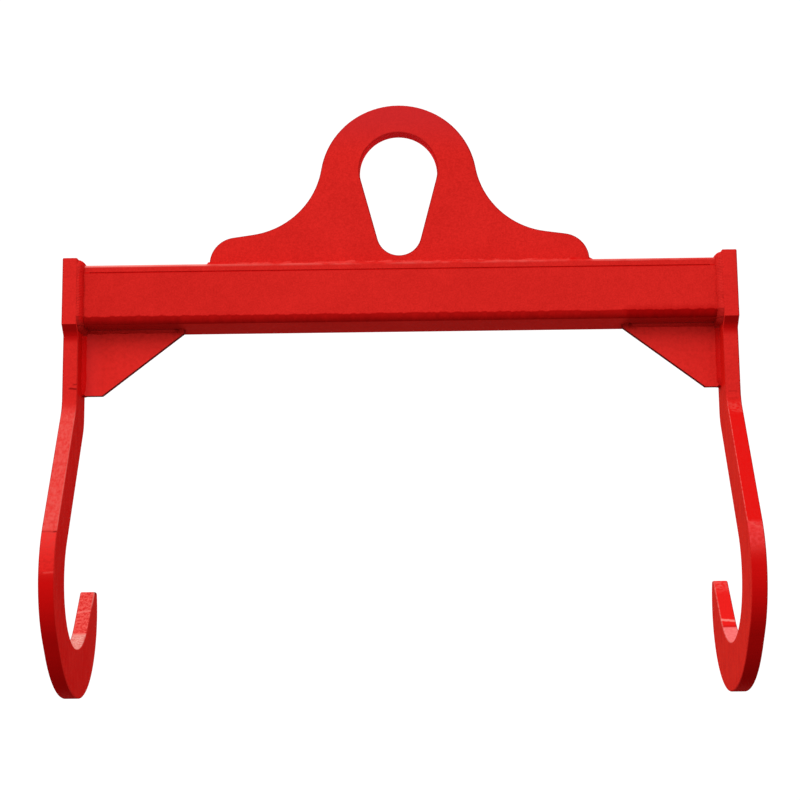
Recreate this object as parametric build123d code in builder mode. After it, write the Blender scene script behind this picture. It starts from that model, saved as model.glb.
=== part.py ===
"""Roll lifting beam: a welded box beam with a lifting lug on top and a plate hook on each end."""

import os
from math import asin, atan2, cos, hypot, pi, radians, sin, sqrt, tan

from build123d import *

# Driving dimensions in millimetres.
# The origin is the centre of the lug eye's round top: +X runs along the beam, +Z is up,
# and the hooks open towards +Y.

# Box beam: a folded channel, and a top plate welded on along an open seam
beam_size = 100
beam_length = 1050
channel_wall = 6
channel_fold_radius = 10
top_plate_thickness = 12
top_plate_edge_radius = 4
seam_gap = 2
seam_depth = 1.2
seam_closed_end = 18

# Lifting lug: heights are measured from the top of the beam
lug_thickness = 30
lug_crown_radius = 131
lug_crown_height = 147
lug_flank_radius = 134
lug_land_length = 34
lug_land_slope = 8
lug_shoulder_radius = 45
lug_foot_edge = 8
eye_radius = 65
eye_height = 165
eye_lower_radius = 37
eye_foot_wall = 19

# Hook plates: the head covers the beam's end, the shank leans forward and the seat is under the lug.
# The tips are cut off by hand, one a little higher than the other, and a corner of a tip
# takes up no more than a share of the tip's width.
hook_thickness = 25
head_margin = 10
shank_width = 63
shank_forward = 12
shank_front_length = 118
shank_rear_length = 119
shank_bend_radius = 55
seat_radius = 110
seat_drop = 462
seat_front_wall = 74
seat_bottom_wall = 79
bulge_radius = 148
heel_length = 30
toe_radius = 134
toe_rearward = 25
tip_slope = 50
left_tip_height = 97
right_tip_height = 104
tip_corner_radius = 6
tip_corner_share = 0.6

# Gussets between the beam's underside and the hook plates, cut by hand to two sizes
gusset_thickness = 12
left_gusset_length = 168
left_gusset_height = 110
left_gusset_foot = 33
right_gusset_length = 158
right_gusset_height = 107
right_gusset_foot = 25
gusset_nose = 6
gusset_snipe = 14

# Fillet welds: leg lengths, and how far the bead's face bulges out
lug_weld_leg = 8
end_weld_leg = 8
gusset_weld_leg = 6
weld_crown = 0.8

# Rounding of the plates' cut edges
edge_break = 2.5

# Places that follow from the driving dimensions
beam_top = -eye_height
beam_half = beam_size / 2
beam_centre = beam_top - beam_half
beam_bottom = beam_top - beam_size
beam_end = beam_length / 2
seam_top = beam_top - top_plate_thickness
seam_bottom = seam_top - seam_gap
sides = {"left": -1, "right": 1}
faces = {"front": -1, "rear": 1}


def tangent_point(point, centre, radius):
    """Where the line from a point touches a circle that it leaves on its left-hand side."""
    dx = centre[0] - point[0]
    dy = centre[1] - point[1]
    length = sqrt(hypot(dx, dy) ** 2 - radius**2)
    angle = atan2(dy, dx) - asin(radius / hypot(dx, dy))
    return (point[0] + length * cos(angle), point[1] + length * sin(angle))


def on_circle(centre, radius, angle):
    """A point on a circle, with the angle in radians."""
    return (centre[0] + radius * cos(angle), centre[1] + radius * sin(angle))


def common_tangent(first, first_radius, second, second_radius):
    """The two ends of the line that touches two circles on the right of the way between them."""
    dx = second[0] - first[0]
    dy = second[1] - first[1]
    angle = atan2(dy, dx) - pi / 2 + asin((first_radius - second_radius) / hypot(dx, dy))
    return on_circle(first, first_radius, angle), on_circle(second, second_radius, angle)


def write(builder, name):
    """Labels a finished piece and writes its STEP file."""
    builder.part.label = name
    export_step(builder.part, f"parts/{name}.step")


os.makedirs("parts", exist_ok=True)

# Channel of the beam, open at both ends until the hook plates close it
with BuildPart() as beam_channel:
    with BuildSketch(Plane.YZ):
        with BuildLine():
            FilletPolyline(
                (-beam_half, seam_bottom),
                (-beam_half, beam_bottom),
                (beam_half, beam_bottom),
                (beam_half, seam_bottom),
                radius=channel_fold_radius,
            )
            offset(amount=-channel_wall, side=Side.LEFT)
        make_face()
    extrude(amount=beam_end, both=True)
write(beam_channel, "beam_channel")

# Top plate, as wide as the channel
with BuildPart() as beam_top_plate:
    with BuildSketch(Plane.XY.offset(seam_top)):
        Rectangle(beam_length, beam_size)
    extrude(amount=top_plate_thickness)
    top_edges = beam_top_plate.edges().group_by(Axis.Z)[-1]
    fillet(top_edges.filter_by(Axis.X), top_plate_edge_radius)
write(beam_top_plate, "beam_top_plate")

# Seam welds between the two: kept back from the face, and flush near the ends
for face, facing in faces.items():
    with BuildPart() as seam_weld:
        with BuildSketch(Plane.XY.offset(seam_bottom)):
            with BuildLine():
                flush = facing * beam_half
                kept_back = facing * (beam_half - seam_depth)
                inside = facing * (beam_half - channel_wall)
                Polyline(
                    (0, inside),
                    (beam_end, inside),
                    (beam_end, flush),
                    (beam_end - seam_closed_end, flush),
                    (beam_end - seam_closed_end, kept_back),
                    (0, kept_back),
                )
                mirror(about=Plane.YZ)
            make_face()
        extrude(amount=seam_gap)
    write(seam_weld, f"seam_weld_{face}")

# Lifting lug: round crown, hollow flanks, sloping lands and rounded shoulders
crown_centre = (0, beam_top + lug_crown_height)
land_slope = radians(lug_land_slope)
shoulder_z = beam_top + lug_foot_edge
land_rise = lug_land_length * sin(land_slope)
flank_z = shoulder_z + land_rise + (lug_shoulder_radius + lug_flank_radius) * cos(land_slope)
flank_reach = lug_crown_radius + lug_flank_radius
flank_x = sqrt(flank_reach**2 - (flank_z - crown_centre[1]) ** 2)
flank_angle = atan2(flank_z - crown_centre[1], flank_x)
flank_start = on_circle(crown_centre, lug_crown_radius, flank_angle)
flank_turn = 3 * pi / 2 - land_slope
flank_middle = on_circle((flank_x, flank_z), lug_flank_radius, (flank_angle + pi + flank_turn) / 2)
flank_end = on_circle((flank_x, flank_z), lug_flank_radius, flank_turn)
land_end = (flank_end[0] + lug_land_length * cos(land_slope), flank_end[1] - land_rise)
shoulder_x = land_end[0] - lug_shoulder_radius * sin(land_slope)
lug_half_length = shoulder_x + lug_shoulder_radius

eye_top = (0, 0)
eye_lower_drop = eye_height - eye_foot_wall - eye_lower_radius
eye_bottom = (0, -eye_lower_drop)
eye_lean = asin((eye_radius - eye_lower_radius) / eye_lower_drop)

with BuildPart() as lifting_lug:
    with BuildSketch(Plane.XZ):
        with BuildLine():
            crown = ThreePointArc(
                (-flank_start[0], flank_start[1]),
                (0, crown_centre[1] + lug_crown_radius),
                flank_start,
            )
            flank = ThreePointArc(crown @ 1, flank_middle, flank_end)
            land = Line(flank @ 1, land_end)
            shoulder = RadiusArc(land @ 1, (lug_half_length, shoulder_z), lug_shoulder_radius)
            Line(shoulder @ 1, (lug_half_length, beam_top))
            Line((lug_half_length, beam_top), (0, beam_top))
            mirror(about=Plane.YZ)
        make_face()
        with BuildLine():
            upper = ThreePointArc(
                on_circle(eye_top, eye_radius, -eye_lean),
                (0, eye_radius),
                on_circle(eye_top, eye_radius, pi + eye_lean),
            )
            lower = ThreePointArc(
                on_circle(eye_bottom, eye_lower_radius, pi + eye_lean),
                (0, eye_bottom[1] - eye_lower_radius),
                on_circle(eye_bottom, eye_lower_radius, -eye_lean),
            )
            Line(upper @ 1, lower @ 0)
            Line(lower @ 1, upper @ 0)
        make_face(mode=Mode.SUBTRACT)
    extrude(amount=lug_thickness / 2, both=True)
    cut_edges = lifting_lug.edges().filter_by(Plane.XZ)
    fillet([edge for edge in cut_edges if edge.center().Z > beam_top + edge_break], edge_break)
write(lifting_lug, "lifting_lug")

# Outline of a hook plate, in the plane across the beam
head_half = beam_half + head_margin
head_top = beam_top + head_margin
shank_front = -shank_forward - shank_width / 2
shank_rear = -shank_forward + shank_width / 2
front_bevel_end = beam_bottom - (head_half + shank_front)
rear_bevel_end = beam_bottom - (head_half - shank_rear)
front_bend = (shank_front, front_bevel_end - shank_front_length)
rear_bend = (shank_rear, rear_bevel_end - shank_rear_length)

seat_centre = (0, beam_centre - seat_drop)
bulge_centre = (bulge_radius - seat_radius - seat_front_wall, seat_centre[1])
seat_bottom = seat_centre[1] - seat_radius
hook_bottom = (toe_rearward, seat_bottom - seat_bottom_wall)
belly_reach = hook_bottom[0] - bulge_centre[0]
belly_depth = bulge_centre[1] - hook_bottom[1]
belly_chord = belly_reach**2 + belly_depth**2 - bulge_radius**2 - heel_length**2
belly_radius = belly_chord / (2 * (belly_depth - bulge_radius))
belly_centre = (toe_rearward, hook_bottom[1] + belly_radius)
toe_centre = (toe_rearward, hook_bottom[1] + toe_radius)
bulge_start = tangent_point(front_bend, bulge_centre, bulge_radius)
heel_start, heel_end = common_tangent(bulge_centre, bulge_radius, belly_centre, belly_radius)
heel_angle = atan2(heel_end[1] - belly_centre[1], heel_end[0] - belly_centre[0])
belly_middle = on_circle(belly_centre, belly_radius, (heel_angle - pi / 2) / 2)
seat_start = tangent_point(rear_bend, seat_centre, seat_radius)
seat_end = on_circle(seat_centre, seat_radius, radians(tip_slope) - pi / 2)

tip_heights = {"left": left_tip_height, "right": right_tip_height}

for side, sign in sides.items():
    tip_top = seat_bottom + tip_heights[side]
    tip_front = (seat_end[0] + (tip_top - seat_end[1]) / tan(radians(tip_slope)), tip_top)
    tip_rear = (toe_centre[0] + sqrt(toe_radius**2 - (tip_top - toe_centre[1]) ** 2), tip_top)
    tip_angle = atan2(tip_rear[1] - toe_centre[1], tip_rear[0] - toe_centre[0])
    toe_middle = on_circle(toe_centre, toe_radius, (tip_angle - pi / 2) / 2)
    tip_width = tip_rear[0] - tip_front[0]
    tip_corner = min(tip_corner_radius, tip_corner_share * tip_width)
    with BuildPart() as hook_plate:
        with BuildSketch(Plane.YZ.offset(sign * beam_end)) as hook_profile:
            with BuildLine():
                Polyline(
                    rear_bend,
                    (shank_rear, rear_bevel_end),
                    (head_half, beam_bottom),
                    (head_half, head_top),
                    (-head_half, head_top),
                    (-head_half, beam_bottom),
                    (shank_front, front_bevel_end),
                    front_bend,
                    bulge_start,
                )
                ThreePointArc(bulge_start, (bulge_centre[0] - bulge_radius, bulge_centre[1]), heel_start)
                Line(heel_start, heel_end)
                ThreePointArc(heel_end, belly_middle, hook_bottom)
                ThreePointArc(hook_bottom, toe_middle, tip_rear)
                Line(tip_rear, tip_front)
                Line(tip_front, seat_end)
                ThreePointArc(seat_end, (seat_centre[0], seat_bottom), seat_start)
                Line(seat_start, rear_bend)
            make_face()
            corners = hook_profile.vertices()
            fillet([corners.sort_by_distance(bend)[0] for bend in (front_bend, rear_bend)], shank_bend_radius)
            corners = hook_profile.vertices()
            fillet([corners.sort_by_distance(tip)[0] for tip in (tip_front, tip_rear)], tip_corner)
        extrude(amount=sign * hook_thickness)
        fillet(hook_plate.edges().filter_by(Plane.YZ), edge_break)
    write(hook_plate, f"{side}_hook_plate")

# Gussets, snipped at the inner corner to clear the weld round the beam's end
gusset_lengths = {"left": left_gusset_length, "right": right_gusset_length}
gusset_heights = {"left": left_gusset_height, "right": right_gusset_height}
gusset_feet = {"left": left_gusset_foot, "right": right_gusset_foot}

for side, sign in sides.items():
    tip = sign * (beam_end - gusset_lengths[side])
    foot = sign * (beam_end - gusset_feet[side])
    bottom = beam_bottom - gusset_heights[side]
    with BuildPart() as gusset:
        with BuildSketch(Plane.XZ):
            with BuildLine():
                Polyline(
                    (sign * (beam_end - gusset_snipe), beam_bottom),
                    (tip, beam_bottom),
                    (tip, beam_bottom - gusset_nose),
                    (foot, bottom),
                    (sign * beam_end, bottom),
                    (sign * beam_end, beam_bottom - gusset_snipe),
                    close=True,
                )
            make_face()
        extrude(amount=gusset_thickness / 2, both=True)
    write(gusset, f"{side}_gusset")


def weld_section(root, leg):
    """Section of a fillet weld in the first quadrant of a plane, with its root at the plane's origin."""
    bulge = leg / 2 + weld_crown / sqrt(2)
    with BuildSketch(root) as section:
        with BuildLine():
            Line((0, 0), (leg, 0))
            ThreePointArc((leg, 0), (bulge, bulge), (0, leg))
            Line((0, leg), (0, 0))
        make_face()
    return section.sketch


# Welds along the lug's two faces
for face, facing in faces.items():
    root = Plane((0, facing * lug_thickness / 2, beam_top), x_dir=(0, facing, 0), z_dir=(facing, 0, 0))
    with BuildPart() as lug_weld:
        extrude(weld_section(root, lug_weld_leg), amount=lug_half_length, both=True)
    write(lug_weld, f"lug_weld_{face}")

# Welds across the lug's two ends, carried round its corners
for side, sign in sides.items():
    root = Plane((sign * lug_half_length, 0, beam_top), x_dir=(sign, 0, 0), z_dir=(0, -sign, 0))
    with BuildPart() as lug_end_weld:
        extrude(weld_section(root, lug_weld_leg), amount=lug_thickness / 2, both=True)
        for end in (-1, 1):
            corner = root.offset(end * lug_thickness / 2)
            turn = Axis(corner.origin, root.x_dir.cross(end * root.z_dir))
            revolve(weld_section(corner, lug_weld_leg), axis=turn, revolution_arc=90)
    write(lug_end_weld, f"lug_weld_{side}_end")

# Welds round the beam's ends: one pass on each face, meeting the next pass half way round the corner
beam_faces = {"top": (0, 0, 1), "front": (0, -1, 0), "rear": (0, 1, 0), "bottom": (0, 0, -1)}

for side, sign in sides.items():
    for face, direction in beam_faces.items():
        outward = Vector(direction)
        inward = Vector(-sign, 0, 0)
        start = Vector(sign * beam_end, 0, beam_centre) + outward * beam_half
        root = Plane(start, x_dir=inward, z_dir=inward.cross(outward))
        with BuildPart() as end_weld:
            for end in (-1, 1):
                along = end * root.z_dir
                at_top_plate = (outward + along).Z > 0
                corner_radius = top_plate_edge_radius if at_top_plate else channel_fold_radius
                flat = beam_half - corner_radius
                extrude(weld_section(root, end_weld_leg), amount=end * flat)
                corner = root.offset(end * flat)
                turn = Axis(corner.origin - outward * corner_radius, outward.cross(along))
                revolve(weld_section(corner, end_weld_leg), axis=turn, revolution_arc=45)
        write(end_weld, f"{side}_end_weld_{face}")

# Welds along both faces of each gusset: under the beam and down the hook plate
for side, sign in sides.items():
    for face, facing in faces.items():
        outward = Vector(0, facing, 0)
        gusset_face = facing * gusset_thickness / 2

        start = (sign * (beam_end - gusset_lengths[side]), gusset_face, beam_bottom)
        root = Plane(start, x_dir=outward, z_dir=outward.cross(Vector(0, 0, -1)))
        run = (gusset_lengths[side] - gusset_snipe) * sign * root.z_dir.X
        with BuildPart() as gusset_beam_weld:
            extrude(weld_section(root, gusset_weld_leg), amount=run)
        write(gusset_beam_weld, f"{side}_gusset_beam_weld_{face}")

        start = (sign * beam_end, gusset_face, beam_bottom - gusset_heights[side])
        root = Plane(start, x_dir=outward, z_dir=outward.cross(Vector(-sign, 0, 0)))
        run = (gusset_heights[side] - gusset_snipe) * root.z_dir.Z
        with BuildPart() as gusset_hook_weld:
            extrude(weld_section(root, gusset_weld_leg), amount=run)
        write(gusset_hook_weld, f"{side}_gusset_hook_weld_{face}")
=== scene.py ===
# %% [markdown]
# # A roll lifting beam in red enamel
# The object is a welded steel beam that hangs from a crane by the eye in its lug and carries a roll's
# shaft in its two hooks. Everything on it is plate, weld and one coat of sprayed red enamel, so the looks
# come from three things: the light, the way the paint lies on cut and rolled steel, and the weld beads.
# The plates are already right in the frame, so they stay and get paint. The fillet welds in the frame are
# smooth bars, so each of them is replaced by a rippled bead.

# %% Load the frame
from math import hypot, pi, radians
from types import SimpleNamespace

import bmesh
import bpy
from mathutils import Matrix, Vector, noise


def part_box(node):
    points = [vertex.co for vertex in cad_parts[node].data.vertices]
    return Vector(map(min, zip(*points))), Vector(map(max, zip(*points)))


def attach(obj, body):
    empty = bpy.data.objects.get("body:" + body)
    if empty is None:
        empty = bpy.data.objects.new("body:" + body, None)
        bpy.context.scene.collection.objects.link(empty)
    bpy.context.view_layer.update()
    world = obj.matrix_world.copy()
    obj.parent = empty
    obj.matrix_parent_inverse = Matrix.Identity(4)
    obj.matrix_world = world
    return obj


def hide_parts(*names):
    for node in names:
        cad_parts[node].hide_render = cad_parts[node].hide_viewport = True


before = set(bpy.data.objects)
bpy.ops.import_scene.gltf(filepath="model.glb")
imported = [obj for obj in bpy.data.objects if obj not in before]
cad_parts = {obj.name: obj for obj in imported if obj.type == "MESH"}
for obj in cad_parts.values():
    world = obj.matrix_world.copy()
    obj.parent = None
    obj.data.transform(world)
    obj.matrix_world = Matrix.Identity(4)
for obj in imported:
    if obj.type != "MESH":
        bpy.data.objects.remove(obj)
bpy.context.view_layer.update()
bpy.ops.object.select_all(action="DESELECT")
print("nodes in the frame:", len(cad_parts))

# %% [markdown]
# ## Where things are
# The frame is in metres, with its origin in the lug's eye, +X along the beam and +Z up. The camera looks
# along +Y, so the front is the side of -Y. Most places that the paint and the welds need are read from
# the boxes of the CAD nodes. The few that lie inside a box, such as the bend of a hook, are named where
# they are first needed.

# %% Places read from the frame
MM = 0.001
beam_low, beam_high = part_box("beam_channel")
plate_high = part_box("beam_top_plate")[1]
lug_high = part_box("lifting_lug")[1]
hook_low, hook_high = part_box("right_hook_plate")
signs = {"left": -1, "right": 1}
gusset_boxes = {side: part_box(f"{side}_gusset") for side in signs}

beam_end = beam_high.x
beam_half = beam_high.y
beam_top = plate_high.z
beam_bottom = beam_low.z
beam_middle = (beam_top + beam_bottom) / 2
lug_end = lug_high.x
lug_face = lug_high.y
gusset_face = gusset_boxes["right"][1].y
gusset_tips = {"left": gusset_boxes["left"][1].x, "right": gusset_boxes["right"][0].x}
tips_middle = (gusset_tips["left"] + gusset_tips["right"]) / 2
tips_reach = (gusset_tips["right"] - gusset_tips["left"]) / 2
print(f"beam {2 * beam_end:.3f} m long and {beam_top - beam_bottom:.3f} m deep")
print(f"gussets from {tips_reach:.3f} m either side, hooks down to {hook_low.z:.3f} m")

# %% [markdown]
# ## Camera
# The picture was taken from a little under the beam, from 2.7 m away, with a short telephoto lens. A
# camera could be aimed at a target, but this picture is rolled a little too. So a camera that looks along
# +Y is turned by three small angles: yaw about the upright, pitch upwards, and roll about its own line of
# sight. The focal length is in pixels of an 800 pixel frame, which the sensor's width turns into
# millimetres.

# %% Place the camera
camera_place = Vector((0.022, -2.6579, -0.8041))
camera_yaw = 0.0089
camera_pitch = 0.15556
camera_roll = 0.0112
focal_pixels = 1635.4
frame_pixels = 800
sensor_width = 36.0

camera_data = bpy.data.cameras.new("camera")
camera_data.sensor_width = sensor_width
camera_data.lens = focal_pixels / frame_pixels * sensor_width
camera = bpy.data.objects.new("camera", camera_data)
yaw_turn = Matrix.Rotation(camera_yaw, 4, "Z")
pitch_turn = Matrix.Rotation(camera_pitch, 4, "X")
roll_turn = Matrix.Rotation(camera_roll, 4, "Y")
turns = yaw_turn @ pitch_turn @ roll_turn
looking_along_y = Matrix.Rotation(pi / 2, 4, "X")
camera.matrix_world = Matrix.Translation(camera_place) @ turns @ looking_along_y
bpy.context.scene.collection.objects.link(camera)
bpy.context.scene.camera = camera
print(f"lens {camera_data.lens:.1f} mm")

# %% [markdown]
# ## Shader maths
# A material is a graph of nodes, and a long graph is hard to read as calls. This small class wraps one
# socket, so that an expression such as `1 - mask * 0.5` adds the Math nodes by itself. Every other node
# comes from `node`, which sets the node's settings first and then fills its sockets with numbers or
# links.

# %% A socket that can be reckoned with
class Wire:
    """A value on its way through a node tree."""

    def __init__(self, tree, socket=None):
        self.tree = tree
        self.socket = socket

    def node(self, kind, sockets, output=0, **settings):
        """Adds a node of a kind, with its settings and the values or links of its sockets."""
        made = self.tree.nodes.new("ShaderNode" + kind)
        for setting, value in settings.items():
            setattr(made, setting, value)
        for place, value in sockets.items():
            if isinstance(value, Wire):
                self.tree.links.new(value.socket, made.inputs[place])
            else:
                made.inputs[place].default_value = value
        return Wire(self.tree, made.outputs[output])

    def math(self, operation, first, second=0.0):
        return self.node("Math", {0: first, 1: second}, operation=operation)

    def __add__(self, other):
        return self.math("ADD", self, other)

    def __sub__(self, other):
        return self.math("SUBTRACT", self, other)

    def __mul__(self, other):
        return self.math("MULTIPLY", self, other)

    def __radd__(self, other):
        return self.math("ADD", other, self)

    def __rsub__(self, other):
        return self.math("SUBTRACT", other, self)

    def __rmul__(self, other):
        return self.math("MULTIPLY", other, self)

    def __abs__(self):
        return self.math("ABSOLUTE", self)

    def rise(self, low, high):
        """0 below low, 1 above high, and a smooth step between them."""
        return self.node("MapRange", {"Value": self, 1: low, 2: high}, interpolation_type="SMOOTHSTEP")

    def fall(self, low, high):
        """1 below low, 0 above high, and a smooth step between them."""
        return 1 - self.rise(low, high)

    def within(self, low, high, soft):
        """1 between low and high, fading to 0 over a soft margin outside them."""
        return self.rise(low - soft, low) * self.fall(high, high + soft)


print("sockets can be reckoned with")

# %% Mixed colours and grain
def tint(share, first, second):
    """Mixes two colours: none of the second at 0, all of it at 1."""
    return share.node("Mix", {0: share, 6: first, 7: second}, output=2, data_type="RGBA")


def grain(place, scale, detail=2.0, stretch=(1, 1, 1), shift=(0, 0, 0)):
    """Noise from 0 to 1 with spots of 1/scale metres, drawn out along an axis where stretch is small."""
    moved = place.node("Mapping", {"Vector": place, "Scale": stretch, "Location": shift})
    return place.node("TexNoise", {"Vector": moved, "Scale": scale, "Detail": detail})


print("tint and grain ready")

# %% [markdown]
# ## Light, background and floor
# The picture is cut out on white and evenly lit from above, so the world is plain white and one large
# lamp above the front left gives the up-facing edges their lift. The floor lies well under the hooks, as
# under a beam on its crane. It bounces little light, because the beam's underside is dark, yet it looks
# white to the camera: Light Path tells the camera's rays, reflections and rays through glass from the
# light's own.

# %% Light the scene
sky_strength = 1.08
key_aim = Vector((0, 0, beam_middle - 0.2))
key_place = key_aim + Vector((-3.2, -5.8, 5.2))
key_size = 5.2
key_power = 268

world = bpy.data.worlds.new("studio")
world.use_nodes = True
sky = world.node_tree.nodes["Background"]
sky.inputs["Color"].default_value = (1, 1, 1, 1)
sky.inputs["Strength"].default_value = sky_strength
bpy.context.scene.world = world
bpy.context.scene.view_settings.view_transform = "Standard"

key_data = bpy.data.lights.new("key", "AREA")
key_data.shape = "DISK"
key_data.size = key_size
key_data.energy = key_power
key = bpy.data.objects.new("key", key_data)
key.location = key_place
key.rotation_euler = (key_aim - key_place).to_track_quat("-Z", "Y").to_euler()
bpy.context.scene.collection.objects.link(key)
print(f"key lamp {(key_place - key_aim).length:.1f} m away")

# %% Lay the floor
floor_drop = 0.45
floor_radius = 3.4
floor_corners = 96
floor_grey = (0.31, 0.31, 0.31, 1)
floor_white = (0.86, 0.86, 0.86, 1)

bpy.ops.mesh.primitive_circle_add(
    vertices=floor_corners, radius=floor_radius, fill_type="NGON",
    location=(0, 0, hook_low.z - floor_drop),
)
floor = bpy.context.object
floor.name = "studio_floor"

floor_material = bpy.data.materials.new("floor_white")
floor_material.use_nodes = True
floor_shader = floor_material.node_tree.nodes["Principled BSDF"]
floor_shader.inputs["Specular IOR Level"].default_value = 0.0
floor_shader.inputs["Roughness"].default_value = 0.9
path = Wire(floor_material.node_tree)
camera_ray = path.node("LightPath", {}, output="Is Camera Ray")
glossy_ray = path.node("LightPath", {}, output="Is Glossy Ray")
glass_ray = path.node("LightPath", {}, output="Is Transmission Ray")
seen = camera_ray + glossy_ray + glass_ray
floor_colour = tint(seen, floor_grey, floor_white)
floor_material.node_tree.links.new(floor_colour.socket, floor_shader.inputs["Base Color"])
floor.data.materials.append(floor_material)
print("floor at", round(floor.location.z, 3))

# %% [markdown]
# ## The red enamel
# One coat covers the whole beam: a machine enamel that has dried almost matt, a little cloudy where the
# spray passes overlap, with the fine orange peel that a spray gun leaves. A single flat red would look
# like plastic, so the coat starts from two reds mixed by slow and fine noise, and every plate then adds
# its own marks to the coat's colour, gloss and height. Gloss is the weight of the shader's clear coat:
# thick paint on cut edges and beads keeps more of it than the thin paint on rolled faces. Heights are in
# millimetres, which the Bump node turns into metres. The marks share a few more reds: dark for painted
# shade, wet for thick paint and for painted shade, bright on cut edges, pale for painted highlights, and
# pink for painted highlights and rubbed arrises.

# %% Start a coat of enamel
red = (0.65, 0.0195, 0.0155, 1)
red_deep = (0.49, 0.0115, 0.009, 1)
# The pale red serves painted highlights, the pink painted highlights and rubbed arrises, the dark red
# painted shade, and the wet red thick paint and painted shade.
red_pale_highlight = (0.70, 0.060, 0.050, 1)
pink_highlight_and_wear = (0.84, 0.27, 0.23, 1)
red_shade = (0.16, 0.001, 0.001, 1)
red_wet_and_shade = (0.54, 0.002, 0.002, 1)
red_bright = (0.72, 0.018, 0.015, 1)


def start_coat(name):
    """A coat of enamel whose colour, gloss and height further steps may change."""
    material = bpy.data.materials.new(name)
    material.use_nodes = True
    tree = material.node_tree
    wire = Wire(tree)
    place = wire.node("TexCoord", {}, output="Object")
    facing = wire.node("TexCoord", {}, output="Normal")
    coat = SimpleNamespace(material=material, shader=tree.nodes["Principled BSDF"], place=place)
    coat.x, coat.y, coat.z = (place.node("SeparateXYZ", {0: place}, output=axis) for axis in "XYZ")
    coat.nx, coat.ny, coat.nz = (facing.node("SeparateXYZ", {0: facing}, output=axis) for axis in "XYZ")
    spray = grain(place, 11, detail=3.0).rise(0.3, 0.7)
    cloud = grain(place, 60, detail=3.0, shift=(3, 1, 2)).rise(0.3, 0.7)
    mottle = grain(place, 210, detail=2.0, shift=(1, 4, 2)).rise(0.35, 0.65)
    peel = grain(place, 420, detail=2.0).rise(0.35, 0.65)
    coat.colour = tint(spray * 0.2 + cloud * 0.12 + mottle * 0.2 + peel * 0.48, red, red_deep)
    coat.roughness = 0.5 + cloud * 0.14
    coat.gloss = peel * 0.01
    coat.height = peel * 0.03 + mottle * 0.03
    return coat


print("a coat lies between the reds", red[:3], "and", red_deep[:3])

# %% Finish a coat and put it on
coat_roughness = 0.34


def finish_coat(coat):
    """Joins the coat's values to its shader and returns the material."""
    links = coat.material.node_tree.links
    bump = coat.place.node("Bump", {"Strength": 1.0, "Distance": MM, "Height": coat.height})
    links.new(coat.colour.socket, coat.shader.inputs["Base Color"])
    links.new(coat.roughness.socket, coat.shader.inputs["Roughness"])
    links.new(coat.gloss.socket, coat.shader.inputs["Coat Weight"])
    links.new(bump.socket, coat.shader.inputs["Normal"])
    coat.shader.inputs["Specular IOR Level"].default_value = 0.0
    coat.shader.inputs["Coat Roughness"].default_value = coat_roughness
    return coat.material


def paint(material, *names):
    """Gives CAD nodes a finished material."""
    for name in names:
        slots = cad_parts[name].data.materials
        slots.clear()
        slots.append(material)
    print(material.name, "on", ", ".join(names))


print("coats can be finished")

# %% [markdown]
# ## The box beam
# The beam is a folded channel under a flat top plate. Wet enamel sags down the channel's face, and along
# the lower fold a painted shade follows the sags, so that its top edge is never quite straight. Beside
# the gussets the underside gets more painted shade, and on the right the painted shade above the fold has
# a soft upper brim. The open seam between channel and plate is real geometry, and its lips get painted
# shade as far as the seam is open. The plate's upper edge gets a painted highlight: a faint pale lip in
# front of the lug and a brighter strip beside it, most of all on the left, where the channel also gets a
# touch of painted shade. Such marks could be painted on a map, but here each is told from the place on
# the beam and the way it faces, so it stays sharp up close.

# %% Paint the channel
seam_low, seam_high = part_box("seam_weld_front")
seam_middle = (seam_low.z + seam_high.z) / 2
seam_open = beam_end - 25 * MM
seam_closed = beam_end - 21 * MM
sag_swing = 6 * MM
fold_top = beam_bottom + 12.5 * MM
# The channel's left part gets a touch of painted shade, full left of the first place and gone by the
# second.
left_shade_full = -0.40
left_shade_gone = -0.15


def shade_seam(coat):
    """Paints shade on both lips of the open seam."""
    beside = abs(coat.z - seam_middle).fall(0.8 * MM, 2.2 * MM)
    lips = beside * abs(coat.x).fall(seam_open, seam_closed)
    # Painted shade on both lips of the seam.
    coat.colour = tint(lips * 0.4, coat.colour, red_wet_and_shade)


def channel_enamel():
    """Enamel with painted shade along the lower fold, and under the beam beside the gussets."""
    coat = start_coat("channel_enamel")
    shade_seam(coat)
    sags = grain(coat.place, 130, detail=3.0, stretch=(1, 1, 0.4))
    lower = coat.z + (sags - 0.5) * sag_swing
    under = coat.nz.fall(-0.97, -0.84)
    fold = lower.fall(fold_top, fold_top + 3 * MM) * (1 - under)
    by_gusset = abs(coat.x - tips_middle).rise(tips_reach - 6 * MM, tips_reach + 8 * MM)
    by_right = by_gusset * coat.x.rise(0, 0.1)
    shade_brim = lower.fall(fold_top + 0.5 * MM, fold_top + 12.5 * MM) * (1 - under) * by_right
    # Painted shade along the lower fold, ragged along the sags, with a soft brim on the right.
    coat.colour = tint(fold * 0.6 + shade_brim * 0.3, coat.colour, red_wet_and_shade)
    fold_shade = fold * (sags * 0.4 + 0.38 + by_gusset * 0.06 - shade_brim * 0.1)
    # More painted shade on the fold, and under the beam beside the gussets.
    coat.colour = tint(fold_shade + shade_brim * 0.22 + under * by_gusset * 0.5, coat.colour, red_shade)
    # A touch of painted shade on the beam's left part.
    coat.colour = tint(coat.x.fall(left_shade_full, left_shade_gone) * 0.06, coat.colour, red_shade)
    coat.height = coat.height + fold * sags * 1.1
    return finish_coat(coat)


paint(channel_enamel(), "beam_channel")

# %% Paint the top plate and the seam
lip_low = beam_top - 6 * MM
strip_low = beam_top - 5 * MM


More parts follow.
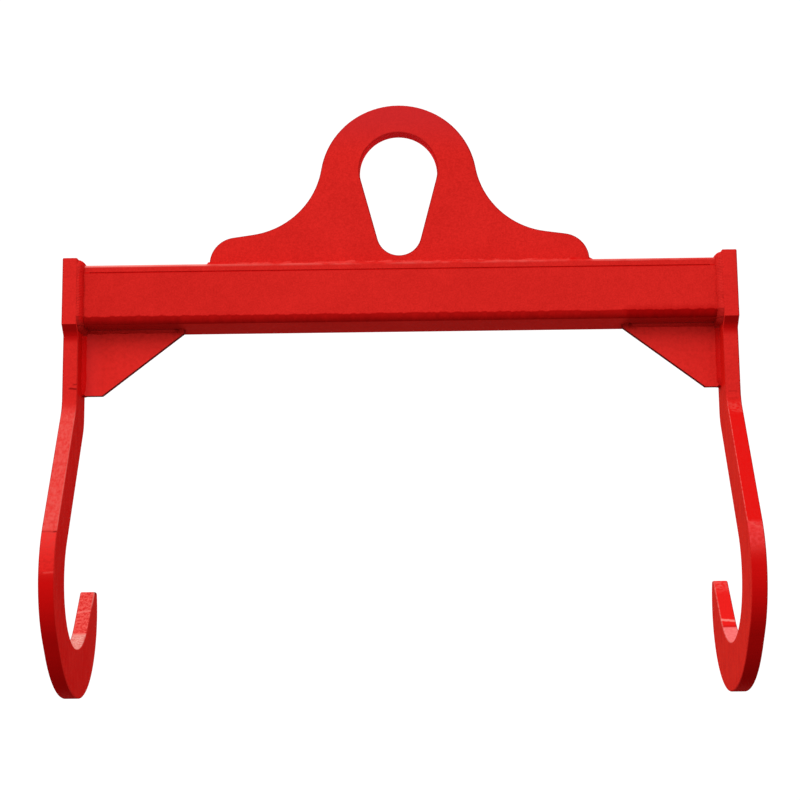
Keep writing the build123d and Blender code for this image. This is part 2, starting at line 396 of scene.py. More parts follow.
def top_plate_enamel():
    """Enamel with a painted highlight on its upper edge, brighter beside the lug."""
    coat = start_coat("top_plate_enamel")
    shade_seam(coat)
    sides = abs(coat.ny).rise(0.02, 0.25)
    lip = coat.z.rise(lip_low, lip_low + 3 * MM) * sides
    strip = coat.z.rise(strip_low, strip_low + 3 * MM) * sides
    glare_grain = grain(coat.place, 70, detail=3.0, stretch=(0.4, 1, 1)).rise(0.35, 0.65)
    beside_lug = abs(coat.x).rise(lug_end - 6 * MM, lug_end + 6 * MM) * coat.x.fall(0, 0.7)
    faint_highlight = lip * (1 - beside_lug) * glare_grain * 0.16
    bright_highlight = strip * beside_lug
    # Painted highlight on the plate's upper edge: faint in front of the lug, brighter and glossier beside
    # it.
    coat.colour = tint(faint_highlight + bright_highlight * (glare_grain * 0.2 + 0.5), coat.colour, pink_highlight_and_wear)
    coat.gloss = coat.gloss + bright_highlight * 0.3
    return finish_coat(coat)


def seam_enamel():
    """Enamel in the seam, deepened by painted shade in uneven runs."""
    coat = start_coat("seam_enamel")
    runs = grain(coat.place, 90, detail=2.0, stretch=(0.5, 1, 1))
    # Painted shade deepens the seam's enamel in uneven runs.
    coat.colour = tint(runs * 0.5 + 0.5, coat.colour, red_wet_and_shade)
    return finish_coat(coat)


paint(top_plate_enamel(), "beam_top_plate")
paint(seam_enamel(), "seam_weld_front", "seam_weld_rear")

# %% [markdown]
# ## Cut edges
# The hooks, the lug and the gussets are flame cut. The torch leaves drag lines that run through the
# plate's thickness, and the paint lies thicker and glossier on them. Noise that is drawn out along the
# thickness makes such lines, and the surface's own direction tells a cut edge from a rolled face: on an
# edge it has no share across the plate. Between the two lies the rounded arris, which gets a thin dark
# line of painted shade.

# %% Drag lines and arrises
through_x = (0.04, 1, 1)
through_y = (1, 0.04, 1)


def cut_edge(coat, across, along_thickness):
    """Adds drag lines to the cut edges of a plate and returns the mask of those edges."""
    edge = abs(across).fall(0.35, 0.8)
    drag = grain(coat.place, 360, detail=3.0, stretch=along_thickness)
    wash = grain(coat.place, 75, detail=2.0, stretch=along_thickness, shift=(1, 5, 2))
    coat.height = coat.height + edge * (drag * 0.22 + wash * 0.45)
    coat.colour = tint(edge * (0.35 - drag * 0.4), coat.colour, red_bright)
    coat.gloss = coat.gloss + edge * 0.02
    return edge


def line_arris(coat, across, share):
    """Darkens the rounded edges between a plate's faces and its cut edges with painted shade."""
    arris = abs(across).within(0.3, 0.9, 0.08)
    # Painted shade on the arrises.
    coat.colour = tint(arris * share, coat.colour, red_shade)


print("edge marks ready")

# %% [markdown]
# ## Lug and gussets
# Both are plates that lie along the beam, so their thickness runs along Y. The inside of the lug's eye
# gets painted light in a bright, saturated red, and the crown above it is a little darker. The gussets
# get painted light in a lighter red than the beam's, and painted shade in the corners beside their welds,
# at their tips and on their cut edges. The left gusset gets more painted light beside its hook. One
# material does for both gussets, because the place tells left from right.

# %% Paint the lug
# The eye's red is painted light; the crown's red only makes the top darker.
eye_painted_light = (0.80, 0.003, 0.006, 1)
crown_red = (0.47, 0.0213, 0.025, 1)
crown_low = 0.02
crown_high = 0.10


def lug_enamel():
    """Enamel with painted shade on its arrises, painted light inside the eye and a darker crown."""
    coat = start_coat("lug_enamel")
    edge = cut_edge(coat, coat.ny, through_y)
    eye = edge * coat.nz.fall(-0.5, 0.0)
    # Painted light inside the eye.
    coat.colour = tint(eye * 0.9, coat.colour, eye_painted_light)
    # Painted shade on the arrises, more on the upper ones.
    line_arris(coat, coat.ny, coat.nz.rise(-0.2, 0.1) * 0.3 + 0.3)
    coat.colour = tint(coat.z.rise(crown_low, crown_high) * 0.5, coat.colour, crown_red)
    return finish_coat(coat)


paint(lug_enamel(), "lifting_lug")

# %% Paint the gussets
# Both reds are painted light, lighter than the beam's red.
gusset_painted_light = (0.76, 0.026, 0.021, 1)
gusset_painted_light_left = (0.88, 0.036, 0.034, 1)


def gusset_enamel():
    """Flecked enamel with painted light on its face and painted shade by the welds, tips and cut edges.
    """
    coat = start_coat("gusset_enamel")
    edge = cut_edge(coat, coat.ny, through_y)
    flecks = grain(coat.place, 150, detail=3.0, shift=(2, 2, 7)).rise(0.35, 0.7)
    # Painted light over the face, broken by flecks.
    coat.colour = tint(0.55 - flecks * 0.3, coat.colour, gusset_painted_light)
    by_left_hook = coat.x.fall(-beam_end + 8 * MM, -beam_end + 40 * MM)
    # More painted light beside the left hook.
    coat.colour = tint(by_left_hook * 0.5, coat.colour, gusset_painted_light_left)
    by_hook = abs(coat.x).rise(beam_end - 18 * MM, beam_end - 6 * MM)
    by_beam = coat.z.rise(beam_bottom - 22 * MM, beam_bottom - 6 * MM)
    by_tip = abs(coat.x - tips_middle).fall(tips_reach + 14 * MM, tips_reach + 34 * MM)
    at_tip = by_tip * coat.z.rise(beam_bottom - 13 * MM, beam_bottom - 4 * MM)
    shade = by_hook * flecks * 0.05 + by_beam * (flecks * 0.1 + 0.1) + at_tip * 0.45
    # Painted shade beside the hook, under the beam and at the tip.
    coat.colour = tint(shade, coat.colour, red_shade)
    # Painted shade on the cut edges.
    coat.colour = tint(edge, coat.colour, red_shade)
    return finish_coat(coat)


paint(gusset_enamel(), "left_gusset", "right_gusset")

# %% [markdown]
# ## Hooks
# A hook shows the most marks, and the two get a material each. Both get painted shade: a dark bevel
# under the head that fades down the shank, a belly and heel that darken downwards, and dark arrises
# outside and behind. Below the bend the front edge leans forward: the left one has a pale painted sheen
# with lengthwise runs, the right one is wet and deep, with a painted sheen under a crease lower down. The
# torch stopped and started where the edge turns, and the creases there get painted lines, dark for their
# shade and pale for their highlight. In the seat, where the shafts lie, the pale pink is a painted
# reflection of the light above, with streaks along the shaft in the bump. A mark is found by its height
# in the frame and by the way the surface faces there, and each tint lies over the ones before it.

# %% Strokes on a hook
hook_middle = (hook_low.x + hook_high.x) / 2


def stroke(coat, height, thickness, slant=0.0, jitter=2.0):
    """A thin wavy line across a hook's edge at a height, its thickness and jitter in millimetres."""
    waves = grain(coat.place, 170, stretch=(1, 0.1, 0.1), shift=(0, 0, height * 9)) - 0.5
    away = coat.z - height + (abs(coat.x) - hook_middle) * slant + waves * (jitter * MM)
    return abs(away).fall(thickness * 0.3 * MM, thickness * MM)


print(f"the left hook's middle is at {-hook_middle:.4f} m, the right one's at {hook_middle:.4f} m")

# %% Masks and grain of a hook
bend_height = -0.400
bulge_height = -0.605
seat_top = -0.665


def start_hook_coat(side):
    """Starts a hook's coat, with the masks and the grain that its marks need."""
    coat = start_coat(f"{side}_hook_enamel")
    inward = coat.nx * -signs[side]
    in_seat = coat.z.fall(seat_top - 10 * MM, seat_top)
    below_bend = coat.z.fall(bend_height - 20 * MM, bend_height + 10 * MM)
    arris = inward.within(0.3, 0.85, 0.2)
    coat.edge = cut_edge(coat, coat.nx, through_x)
    coat.front = coat.edge * (0 - coat.ny).rise(0.2, 0.5)
    coat.lean = coat.front * coat.z.rise(bulge_height - 6 * MM, bulge_height) * below_bend
    coat.cradle = coat.edge * coat.nz.rise(0.15, 0.4) * in_seat
    coat.inner_face = inward.rise(0.85, 0.95)
    coat.inner_arris = arris * (0 - coat.ny).rise(0.15, 0.4)
    coat.tip_arris = arris * coat.nz.rise(0.1, 0.3) * in_seat
    coat.streaks = grain(coat.place, 260, detail=3.0, stretch=(0.12, 1, 1), shift=(4, 4, 1))
    coat.dabs = grain(coat.place, 240, detail=3.0, stretch=(0.7, 1, 1), shift=(7, 2, 1)).rise(0.35, 0.65)
    coat.runs = grain(coat.place, 300, stretch=(1, 0.8, 0.12), shift=(3, 8, 2)).rise(0.35, 0.65)
    return coat


print(f"hooks bend at {bend_height:.3f} m and bulge at {bulge_height:.3f} m")

# %% Bevel and belly of a hook
bevel_foot = -0.2815
belly_heights = {"left": -0.655, "right": -0.640}
heel_shares = {"left": 0.42, "right": 0.57}


def darken_bevel(coat):
    """Darkens the bevel under a hook's head with painted shade, fading down the top of the shank."""
    bevel = coat.front * coat.nz.within(-0.8, -0.6, 0.1) * coat.z.rise(bend_height, bend_height + 40 * MM)
    below = coat.z.rise(bevel_foot - 15 * MM, bevel_foot) * coat.z.fall(bevel_foot, bevel_foot + 8 * MM)
    shank_top = coat.front * coat.nz.rise(-0.5, -0.2) * below
    # Painted shade on the bevel, fading down the top of the shank.
    coat.colour = tint((bevel + shank_top) * 0.85, coat.colour, red_wet_and_shade)
    bevel_top = coat.z.rise(bevel_foot + 1 * MM, bevel_foot + 9 * MM)
    coat.colour = tint(bevel * bevel_top * 0.5 + shank_top * 0.3, coat.colour, red_shade)


def darken_belly(coat, side):
    """Darkens a hook's belly and heel downwards with painted shade, and dulls the heel."""
    under = coat.edge * coat.nz.fall(-0.9, -0.8) * coat.ny.fall(0.0, 0.15)
    forward = coat.front + under * (1 - coat.front) * 0.5
    belly = forward * coat.z.fall(belly_heights[side] - 35 * MM, belly_heights[side])
    # Painted shade on the belly, deeper on the heel.
    coat.colour = tint(belly * 0.9, coat.colour, red_wet_and_shade)
    heel = belly * coat.nz.fall(-0.93, -0.06)
    coat.colour = tint(heel * heel_shares[side], coat.colour, red_shade)
    coat.gloss = coat.gloss * (1 - heel * 0.8)


print("bellies darken below", belly_heights)

# %% The coat that both hooks share
red_soaked = (0.66, 0.003, 0.002, 1)


def hook_enamel(side):
    """The coat of a hook before its own marks: painted shade on bevel, belly, and arrises outside and
    behind.
    """
    coat = start_hook_coat(side)
    darken_bevel(coat)
    darken_belly(coat, side)
    outer = (coat.nx * signs[side]).rise(0.1, 0.3)
    behind = coat.ny.rise(0.1, 0.3)
    # Painted shade on the arrises outside and behind.
    line_arris(coat, coat.nx, (outer + behind * (1 - outer)) * 0.4)
    return coat


def soak_beside_gusset(coat, side):
    """Deepens the paint on a hook's inner face beside its gusset."""
    beside = coat.inner_face * coat.z.within(gusset_boxes[side][0].z, beam_bottom, 6 * MM)
    coat.colour = tint(beside * 0.65, coat.colour, red_soaked)


print("shared hook marks ready")

# %% The left hook's front edge
# The lean's pale red is a painted sheen.
left_lean_sheen = (0.67, 0.080, 0.068, 1)
wet_foot = -0.672
upper_notch = -0.363
lower_notch = -0.3685
restart_height = -0.673


def paint_left_front(coat):
    """A pale painted sheen on the lean that trails off downwards, over a wet patch."""
    sheen_share = coat.dabs * 0.25 + coat.runs * 0.4 + 0.25
    # Painted sheen on the lean, broken by runs.
    coat.colour = tint(coat.lean * sheen_share, coat.colour, left_lean_sheen)
    coat.colour = tint(coat.inner_arris * coat.lean * 0.25, coat.colour, pink_highlight_and_wear)
    lean_foot = bulge_height - 6 * MM
    trail = coat.z.rise(bulge_height - 50 * MM, lean_foot) * coat.z.fall(lean_foot, bulge_height)
    # The painted sheen trails off below the lean.
    coat.colour = tint(coat.front * trail * 0.3, coat.colour, left_lean_sheen)
    wet = coat.front * coat.z.within(wet_foot, bulge_height - 8 * MM, 6 * MM)
    coat.colour = tint(wet * (coat.dabs * 0.5 + 0.2), coat.colour, red_bright)


def line_left_front(coat):
    """Nicks where the torch stopped, painted shade on the crease below the lean, painted highlight on the
    next.
    """
    inner_part = abs(coat.x).fall(beam_end + 5 * MM, beam_end + 8 * MM)
    inner_half = abs(coat.x).fall(beam_end + 11 * MM, beam_end + 16 * MM)
    short_notch = stroke(coat, upper_notch, 2.0, 0.1) * inner_part
    long_notch = stroke(coat, lower_notch, 2.2, -0.1) * inner_half
    # The stop line is painted shade on the crease where the edge turns, with a shallow groove in the
    # bump.
    stop = stroke(coat, bulge_height - 5 * MM, 1.8, -0.02, 1.0) * (inner_part * 0.45 + 0.3)
    nicks_and_crease_shade = coat.front * (short_notch * 0.5 + long_notch * 0.7 + stop)
    coat.colour = tint(nicks_and_crease_shade, coat.colour, red_shade)
    coat.height = coat.height - nicks_and_crease_shade * 0.5
    mid_width = abs(coat.x).within(beam_end + 3 * MM, beam_end + 15 * MM, 4 * MM)
    # The restart line is a painted highlight on the next crease.
    restart = stroke(coat, restart_height, 2.0, 0.05) * coat.front * mid_width
    coat.colour = tint(restart * 0.5, coat.colour, red_pale_highlight)


left_coat = hook_enamel("left")
paint_left_front(left_coat)
line_left_front(left_coat)
print(left_coat.material.name, "has its front edge")

# %% The left hook's inner face, seat and tip
runs_full = 0.08
runs_thin = 0.12
# The tip's pink is a painted highlight, the seat's pink a painted reflection.
left_tip_highlight = (0.76, 0.10, 0.084, 1)
left_seat_reflection = (0.74, 0.34, 0.29, 1)
crease_depth = 0.069
upper_seat_line = -0.724
lower_seat_line = -0.762
rim_low = -0.722
rim_high = -0.706
chip_place = (-beam_end - 1.5 * MM, 0.137, -0.692)
chip_dark = (0.02, 0.008, 0.008, 1)


def paint_left_inner_face(coat):
    """Wet runs on the inner face, fewer towards the tip, and soaked paint beside the gusset."""
    short_of_tip = coat.y.fall(runs_full, runs_thin) * 0.6 + 0.4
    wet_runs = coat.inner_face * short_of_tip * (coat.dabs * 0.25 + coat.runs * 0.45)
    coat.colour = tint(wet_runs, coat.colour, red_wet_and_shade)
    soak_beside_gusset(coat, "left")


def paint_left_seat(coat):
    """Painted highlights on the tip, rim and seat's creases, a painted reflection on the seat, and a
    chip.
    """
    tip = coat.cradle * coat.y.rise(crease_depth, crease_depth + 4 * MM)
    seat = coat.cradle * coat.y.fall(crease_depth - 2 * MM, crease_depth + 2 * MM)
    flecks = grain(coat.place, 420, detail=2.0, shift=(2, 6, 3)).rise(0.4, 0.6)
    # Painted highlight on the tip and painted reflection on the seat.
    coat.colour = tint(tip * (flecks * 0.5 + coat.dabs * 0.4 + 0.1), coat.colour, left_tip_highlight)
    coat.colour = tint(seat * (flecks * 0.35 + coat.dabs * 0.35 + 0.3), coat.colour, left_seat_reflection)
    # Painted highlights on the seat's creases and on the tip's rim.
    lines = stroke(coat, upper_seat_line, 2.4, 0.2) * 0.6 + stroke(coat, lower_seat_line, 2.4)
    rim = coat.tip_arris * coat.z.rise(rim_low, rim_high) * 0.5
    coat.colour = tint(coat.cradle * lines * 0.5 + rim, coat.colour, pink_highlight_and_wear)
    coat.height = coat.height + coat.cradle * coat.streaks * 0.2
    ends = {0: coat.place, 1: chip_place}
    away = coat.place.node("VectorMath", ends, output="Value", operation="DISTANCE")
    coat.colour = tint(away.fall(3 * MM, 4.5 * MM), coat.colour, chip_dark)


paint_left_inner_face(left_coat)
paint_left_seat(left_coat)
paint(finish_coat(left_coat), "left_hook_plate")

# %% The right hook's front edge
right_lean_red = (0.63, 0.005, 0.004, 1)
# The patch's red is a painted sheen; the pale pink serves a splash at the bend and a painted highlight on
# a crease.
patch_sheen = (0.70, 0.042, 0.042, 1)
bend_and_crease_pink = (0.74, 0.11, 0.09, 1)
upper_nick = -0.387
lower_nick = -0.399
patch_foot = -0.660
patch_full = -0.630


def paint_right_front(coat):
    """A wet, deep lean with nicks and a pale splash, then a crease's painted highlight and a painted
    sheen.
    """
    wet = 1 - coat.dabs * 0.12 - coat.runs * 0.16
    coat.colour = tint(coat.lean * wet, coat.colour, right_lean_red)
    coat.speckle = coat.streaks.rise(0.35, 0.6)
    coat.colour = tint(coat.inner_arris * coat.lean * (coat.speckle * 0.3 + 0.1), coat.colour, pink_highlight_and_wear)
    mid_width = abs(coat.x).within(beam_end + 7 * MM, beam_end + 18 * MM, 4 * MM)
    both_nicks = stroke(coat, upper_nick, 2.4, 0.05) + stroke(coat, lower_nick, 2.6, -0.08)
    nicks = both_nicks * coat.front * mid_width
    coat.colour = tint(nicks * 0.15, coat.colour, red_shade)
    coat.height = coat.height - nicks * 0.4
    below_lean = coat.z.fall(bulge_height - 5 * MM, bulge_height + 3 * MM)
    patch = coat.front * below_lean * coat.z.rise(patch_foot, patch_full)
    # Painted sheen under the crease.
    coat.colour = tint(patch * (coat.dabs * 0.6 + 0.3), coat.colour, patch_sheen)
    splash = coat.front * coat.z.within(bend_height - 20 * MM, bend_height - 8 * MM, 6 * MM) * coat.dabs
    crease = stroke(coat, bulge_height - 8 * MM, 3.0, 0.5, 8.0) * coat.front
    # A pale splash at the bend, and a painted highlight on the crease.
    coat.colour = tint(splash * 0.3 + crease * (coat.speckle * 0.2 + 0.12), coat.colour, bend_and_crease_pink)


right_coat = hook_enamel("right")
paint_right_front(right_coat)
print(right_coat.material.name, "has its front edge")

# %% The right hook's seat, tip and inner face
# The seat's pink is a painted reflection, and the face's red is painted light.
right_tip_red = (0.74, 0.014, 0.012, 1)
right_seat_reflection = (0.82, 0.17, 0.165, 1)
right_face_lit_red = (0.76, 0.030, 0.017, 1)
brow_low = -0.708
brow_high = -0.690
right_seat_line = -0.751


def paint_right_seat(coat):
    """A bright tip, a pale brow, painted highlights on rim and crease, and a painted reflection on the
    seat.
    """
    tip = coat.cradle * coat.y.rise(crease_depth + 2 * MM, crease_depth + 5 * MM)
    seat = coat.cradle * coat.y.fall(crease_depth - 2 * MM, crease_depth + 2 * MM)
    brow = coat.z.rise(brow_low, brow_high) * coat.dabs
    coat.colour = tint(tip * 0.8, coat.colour, right_tip_red)
    coat.colour = tint(tip * brow * 0.2, coat.colour, pink_highlight_and_wear)
    # Painted reflection on the seat.
    coat.colour = tint(seat * (coat.dabs * 0.2 + 0.75), coat.colour, right_seat_reflection)
    # Painted highlights on the seat's crease and on the tip's rim.
    line = coat.cradle * stroke(coat, right_seat_line, 2.6, 0.1)
    rim = coat.tip_arris * (coat.speckle * 0.3 + 0.1)
    coat.colour = tint(line * 0.7 + rim, coat.colour, pink_highlight_and_wear)
    coat.height = coat.height + coat.cradle * coat.streaks * 0.2


def paint_right_inner_face(coat):
    """Painted light on the inner face, broken by lengthwise runs, and soaked paint beside the gusset."""
    light = 0.65 - coat.dabs * 0.2 - coat.runs * 0.4
    # Painted light on the inner face, which faces the lamp.
    coat.colour = tint(coat.inner_face * light, coat.colour, right_face_lit_red)
    soak_beside_gusset(coat, "right")


paint_right_seat(right_coat)
paint_right_inner_face(right_coat)
paint(finish_coat(right_coat), "right_hook_plate")

# %% [markdown]
# ## Weld beads
# Every joint but the long seam is closed by a fillet weld. A welder's bead is a row of overlapping
# puddles: its section is close to a triangle with a full face, each puddle leaves a ripple that bows
# forward in the middle, and the legs swell and shrink as the hand moves. It could be a tube with a bump
# map, but the ripples show on the outline too. So the section is cut from a disc by the planes of the two
# plates, sunk a little into them. The disc's centre lies behind the root: the nearer it is, the fuller
# the face. The inner points are pushed forward in rings, which bows the section, and it is then extruded
# a millimetre or so at a time. After every step the new face is scaled a little about the root, by a saw
# tooth for the ripples and by slow noise for the hand. Round a corner the step is a small turn instead of
# a move, and a bead with a free start begins small. When Blender recalculates the faces' directions, it
# can turn a whole bead inside out, so the sign of the bead's volume is looked at too.

# %% Section of a bead
sunk = 0.4 * MM
disc_corners = 64
bow_rings = (0.25, 0.4, 0.5)
bow_step = 0.1
bow_depth = bow_step * len(bow_rings)


def select_only_beyond(mesh, root, legs, reach):
    """Selects the section's points that lie beyond a reach from both plates."""
    section = bmesh.from_edit_mesh(mesh)
    for point in section.verts:
        point.select_set(min((point.co - root).dot(leg) for leg in legs) > reach)
    section.select_flush(True)
    bmesh.update_edit_mesh(mesh)


def cut_section(root, legs, along, size, fullness, depths):
    """Starts a bead: a disc cut by the planes of the two plates, its face bowed forward."""
    set_back = 1 - fullness
    behind = root - (legs[0] + legs[1]) * size * set_back
    radius = size * hypot(1 + set_back, set_back)
    bpy.ops.object.select_all(action="DESELECT")
    bpy.ops.mesh.primitive_circle_add(
        vertices=disc_corners, radius=radius, fill_type="NGON", location=behind,
        rotation=along.to_track_quat("Z", "Y").to_euler(),
    )
    bpy.ops.object.transform_apply(location=True, rotation=True, scale=True)
    bead = bpy.context.object
    bpy.ops.object.mode_set(mode="EDIT")
    for leg, depth in zip(legs, depths):
        bpy.ops.mesh.select_all(action="SELECT")
        bpy.ops.mesh.bisect(plane_co=root - leg * depth, plane_no=leg, clear_inner=True)
    for ring in bow_rings:
        select_only_beyond(bead.data, root, legs, ring * size)
        bpy.ops.transform.translate(value=along * size * bow_step)
    bpy.ops.mesh.select_all(action="SELECT")
    return bead


print("a section bows forward by", round(bow_depth, 2), "of its leg")

# %% Swell of a bead
ripple_pitch = 4.6 * MM
ripple_depth = 0.075
hand_length = 15 * MM
hand_depth = 0.2


def bead_swell(distance, seed):
    """How large the bead is at a distance along it: ripples, and the slow swing of the hand."""
    ripple = distance / ripple_pitch % 1.0
    hand = noise.noise(Vector((distance / hand_length, seed, 0.5)))
    return 1 + ripple_depth * (ripple - 0.5) + hand_depth * hand


print("a ripple every", round(ripple_pitch / MM, 1), "mm")

# %% Faces of a bead
def face_outwards(mesh):
    """Turns the faces of a closed bead outwards, in edit mode."""
    bpy.ops.mesh.select_all(action="SELECT")
    bpy.ops.mesh.normals_make_consistent(inside=False)
    if bmesh.from_edit_mesh(mesh).calc_volume(signed=True) < 0:
        bpy.ops.mesh.flip_normals()


print("beads can be turned outwards")

# %% Steps of a bead
stride = ripple_pitch / 4
free_start_share = 0.35
free_start_legs = 2


def lay_bead(
    name, node, root, legs, along, size, moves, seed,
    free_start=False, fullness=0.0, depths=(sunk, sunk),
):
    """Lays a bead for a weld node. A move is a length to run, or an axis, angle and centre to turn."""
    bead = cut_section(root, legs, along, size, fullness, depths)
    bead.name = name
    distance = 0.0
    swell = 1.0
    for move in moves:
        turning = not isinstance(move, float)
        length = abs(move[1]) * size if turning else move
        steps = max(2, round(length / stride))
        for _ in range(steps):
            if turning:
                axis, angle, centre = move
                turn = Matrix.Rotation(angle / steps, 3, axis)
                bpy.ops.mesh.extrude_region_move(TRANSFORM_OT_translate={"value": (0, 0, 0)})
                bpy.ops.transform.rotate(value=-angle / steps, orient_axis=axis, center_override=centre)
                root = centre + turn @ (root - centre)
                along = turn @ along
            else:
                step = along * length / steps
                bpy.ops.mesh.extrude_region_move(TRANSFORM_OT_translate={"value": step})
                root = root + step
            distance += length / steps
            wanted = bead_swell(distance, seed)
            if free_start:
                wanted *= min(1.0, free_start_share + distance / (free_start_legs * size))
            ratio = wanted / swell
            swell = wanted
            bpy.ops.transform.resize(value=(ratio, ratio, ratio), center_override=root)
    face_outwards(bead.data)
    bpy.ops.object.mode_set(mode="OBJECT")
    dress_bead(bead, node)
    return bead


print("beads grow by about", round(stride / MM, 2), "mm a step")

# %% Dress and copy a bead
smooth_angle = radians(50)


def dress_bead(bead, node):
    """Smooths a bead, paints it and lets it stand for its weld node."""
    bpy.ops.object.shade_smooth_by_angle(angle=smooth_angle)
    bead.data.materials.clear()
    bead.data.materials.append(weld_coat)
    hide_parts(node)
    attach(bead, "root")


def copy_to_rear(bead, name, node):
    """Copies a bead on the front to the rear, as its mirror image."""
    bpy.ops.object.select_all(action="DESELECT")
    bead.select_set(True)
    bpy.context.view_layer.objects.active = bead
    bpy.ops.object.duplicate()
    rear_bead = bpy.context.object
    rear_bead.name = name
    bpy.ops.object.mode_set(mode="EDIT")
    bpy.ops.mesh.select_all(action="SELECT")
    bpy.ops.transform.resize(value=(1, -1, 1), center_override=(0, 0, 0))
    face_outwards(rear_bead.data)
    bpy.ops.object.mode_set(mode="OBJECT")
    dress_bead(rear_bead, node)


print("beads can be dressed and copied")

# %% [markdown]
# ## Paint for the beads
# Grains of spatter stand in the paint on a bead. Each bead could have a material of its own, but they
# were all sprayed at once, so one serves them all and tells them apart by their place. Beads under the
# beam get painted shade, and so does the bottom of those round the beam's ends. Those between gusset and
# hook get painted shade too, lifted by painted light on the left. The lug's beads have a pale, patchy
# painted highlight on their crest and painted shade at their ends, and a ragged stripe of painted shade
# runs down the bead at the beam's left end.

# %% Paint the beads
# The beads' bright red is painted light.
bead_painted_light = (0.86, 0.004, 0.004, 1)
stripe_inner = -beam_end + 8.5 * MM
stripe_outer = -beam_end + 4 * MM


def weld_enamel():
    """Enamel over spatter, with painted shade, light and highlight by the place of the bead."""
    coat = start_coat("weld_enamel")
    spatter = grain(coat.place, 420, detail=2.0, shift=(5, 1, 1)).rise(0.55, 0.75)
    coat.height = coat.height + spatter * 0.25
    coat.colour = tint(spatter * 0.3, coat.colour, red_deep)
    by_hook = coat.z.fall(beam_bottom - 12 * MM, beam_bottom - 9 * MM)
    by_beam = coat.z.fall(beam_bottom - 1 * MM, beam_bottom) * (1 - by_hook)
    low_end = coat.z.within(beam_bottom, beam_bottom + 12 * MM, 3 * MM)
    # Painted shade on beads under the beam and on the bottom of those round the beam's ends.
    coat.colour = tint(by_beam * 0.5 + low_end * 0.5, coat.colour, red_shade)
    # Painted shade on the beads between gusset and hook, lifted by painted light on the left.
    coat.colour = tint(by_hook * 0.7, coat.colour, red_wet_and_shade)
    coat.colour = tint(by_hook * coat.x.fall(0, 0.1) * 0.55, coat.colour, bead_painted_light)
    by_lug = abs(coat.x).fall(lug_end, lug_end + 12 * MM)
    crest = by_lug * coat.z.rise(beam_top + 4 * MM, beam_top + 7 * MM)
    patches = grain(coat.place, 60, detail=3.0, shift=(4, 2, 2)).rise(0.4, 0.6)
    # A patchy painted highlight on the crest of the lug's beads.
    coat.colour = tint(crest * patches * 0.5, coat.colour, red_pale_highlight)
    by_lug_end = abs(coat.x).within(lug_end - 30 * MM, lug_end + 12 * MM, 8 * MM)
    lug_foot = coat.z.rise(beam_top, beam_top + 1 * MM) * by_lug_end
    # Painted shade at the ends of the lug's beads.
    coat.colour = tint(lug_foot * 0.7, coat.colour, red_wet_and_shade)
    waver = grain(coat.place, 150, detail=3.0, stretch=(0.2, 1, 1), shift=(1, 3, 6)) - 0.5
    stripe = (coat.x + waver * (6 * MM)).within(stripe_outer, stripe_inner, 1.2 * MM)
    left_end = stripe * coat.z.rise(beam_bottom, beam_bottom + 10 * MM)
    # A ragged stripe of painted shade down the bead at the beam's left end.
    coat.colour = tint(left_end * 0.62, coat.colour, red_wet_and_shade)
    coat.gloss = coat.gloss + 0.03
    return finish_coat(coat)


weld_coat = weld_enamel()
print(weld_coat.name, "ready")

# %% [markdown]
# ## Welds of the lug
# A long bead runs along each face of the lug's foot, and a short one goes round each end, in quarter
# turns about the foot's corners. A bead's start is hollow, because its section bows forward, so every one
# of these starts early by the bow's depth and laps over its neighbour.

# %% Lay the lug's beads
up = Vector((0, 0, 1))
down = -up
front = Vector((0, -1, 0))
rear = -front
lug_bead_leg = 10 * MM
lug_lap = bow_depth * lug_bead_leg

lug_start = Vector((-lug_end - lug_lap, -lug_face, beam_top))
lug_bead = lay_bead(
    "lug_bead_front", "lug_weld_front", lug_start, (front, up), Vector((1, 0, 0)),
    lug_bead_leg, [2 * lug_end + lug_lap], seed=1.3,
)
copy_to_rear(lug_bead, "lug_bead_rear", "lug_weld_rear")

for side, sign in signs.items():
    corner = Vector((sign * lug_end, -lug_face, beam_top))
    far_corner = Vector((sign * lug_end, lug_face, beam_top))
    outward = Vector((sign, 0, 0))
    moves = [lug_lap, ("Z", sign * pi / 2, corner), 2 * lug_face, ("Z", sign * pi / 2, far_corner)]
    lay_bead(
        f"lug_bead_{side}_end", f"lug_weld_{side}_end", corner - outward * lug_lap, (front, up), outward,
        lug_bead_leg, moves, seed=2.7 + sign,
    )
print("lug welded")

# %% [markdown]
# ## Welds round the beam's ends
# The beam's ends stand against the hook plates, and a pass on each of its four faces closes the joint. It
# ends half way round a corner, round the channel's fold below or the plate's small edge above. It starts
# a little before half way, so that it laps over the last one. These beads are fuller than the others, and
# are sunk deeper into the hook plate.

# %% Lay the beads round the beam's ends
end_bead_leg = 9.5 * MM
end_bead_fullness = 0.85
end_bead_depths = (2.5 * MM, sunk)
end_bead_lap = radians(15)
fold_radius = 10 * MM
plate_radius = 4 * MM
end_passes = {"top": (up, rear), "front": (front, up), "bottom": (down, front)}


def corner_radius(toward):
    """Radius of the beam's corner in a direction across the beam."""
    return plate_radius if toward.z > 0 else fold_radius


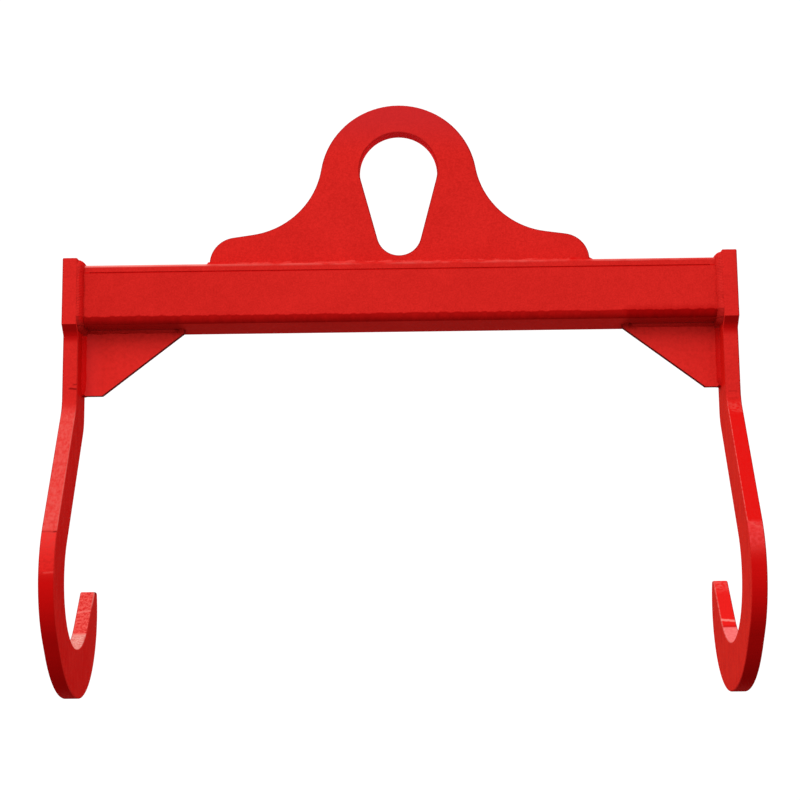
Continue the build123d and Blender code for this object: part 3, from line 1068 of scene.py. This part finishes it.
for side, sign in signs.items():
    inward = Vector((-sign, 0, 0))
    middle = Vector((sign * beam_end, 0, beam_middle))
    made = {}
    for face, (outward, along) in end_passes.items():
        turn_way = 1 if along.cross(-outward).x > 0 else -1
        first = corner_radius(outward - along)
        last = corner_radius(outward + along)
        first_centre = middle + outward * (beam_half - first) - along * (beam_half - first)
        last_centre = middle + outward * (beam_half - last) + along * (beam_half - last)
        first_turn = turn_way * (pi / 4 + end_bead_lap)
        last_turn = turn_way * pi / 4
        start_turn = Matrix.Rotation(-first_turn, 3, "X")
        start = first_centre + start_turn @ (outward * first)
        run = 2 * beam_half - first - last
        moves = [("X", first_turn, first_centre), run, ("X", last_turn, last_centre)]
        made[face] = lay_bead(
            f"{side}_end_bead_{face}", f"{side}_end_weld_{face}", start,
            (inward, start_turn @ outward), start_turn @ along, end_bead_leg, moves,
            seed=5.1 + sign + 0.37 * len(made), fullness=end_bead_fullness, depths=end_bead_depths,
        )
    copy_to_rear(made["front"], f"{side}_end_bead_rear", f"{side}_end_weld_rear")
print("beam ends welded")

# %% [markdown]
# ## Welds of the gussets
# Each gusset is welded on both faces, under the beam and down the hook plate. A bead starts small at the
# gusset's free end and runs full into the corner, where the two beads close the gusset's snipped corner
# between them.

# %% Lay the gussets' beads
gusset_bead_leg = 6.5 * MM
bare_tip = 11 * MM

for side, sign in signs.items():
    inward = Vector((-sign, 0, 0))
    gusset_tip = gusset_tips[side]
    gusset_bottom = gusset_boxes[side][0].z
    start = Vector((gusset_tip, -gusset_face, beam_bottom)) - inward * bare_tip
    run = beam_end - bare_tip - abs(gusset_tip)
    under_bead = lay_bead(
        f"{side}_gusset_beam_bead_front", f"{side}_gusset_beam_weld_front", start, (front, down), -inward,
        gusset_bead_leg, [run], seed=8.2 + sign, free_start=True,
    )
    copy_to_rear(under_bead, f"{side}_gusset_beam_bead_rear", f"{side}_gusset_beam_weld_rear")
    start = Vector((sign * beam_end, -gusset_face, gusset_bottom))
    run = beam_bottom - gusset_bottom
    upright_bead = lay_bead(
        f"{side}_gusset_hook_bead_front", f"{side}_gusset_hook_weld_front", start, (front, inward), up,
        gusset_bead_leg, [run], seed=9.6 + sign, free_start=True,
    )
    copy_to_rear(upright_bead, f"{side}_gusset_hook_bead_rear", f"{side}_gusset_hook_weld_rear")
print("gussets welded")
